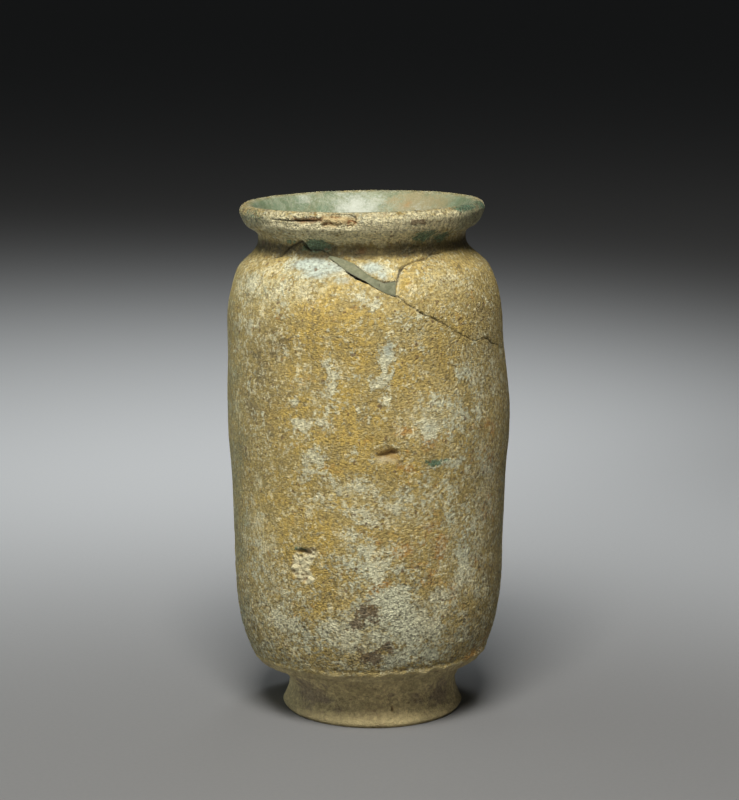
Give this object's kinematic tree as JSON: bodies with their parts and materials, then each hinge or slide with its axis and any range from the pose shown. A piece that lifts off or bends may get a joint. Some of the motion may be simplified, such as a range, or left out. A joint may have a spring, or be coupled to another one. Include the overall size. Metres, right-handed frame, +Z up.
{
  "type": "bottle",
  "caption": "Small drum-shaped glazed pottery bottle with a flared lip, short neck and foot ring, for oil or ointment; weathered, cracked and mended at the shoulder.",
  "frame": {"origin": "bottom centre of the bounding box, on the surface that the foot stands on", "axes": "+Z up through the mouth, -Y towards the front with the repaired break, +X to the right of that front"},
  "size_m": [0.0769, 0.0772, 0.1405],
  "materials": {
    "glazed_pottery": "decayed yellowish glaze, matt and granular, with lime crust",
    "repair_putty": "matt grey-green hardened filler"
  },
  "bodies": {
    "root": {"vessel": "glazed_pottery", "repair_fill": "repair_putty"}
  },
  "joints": []
}
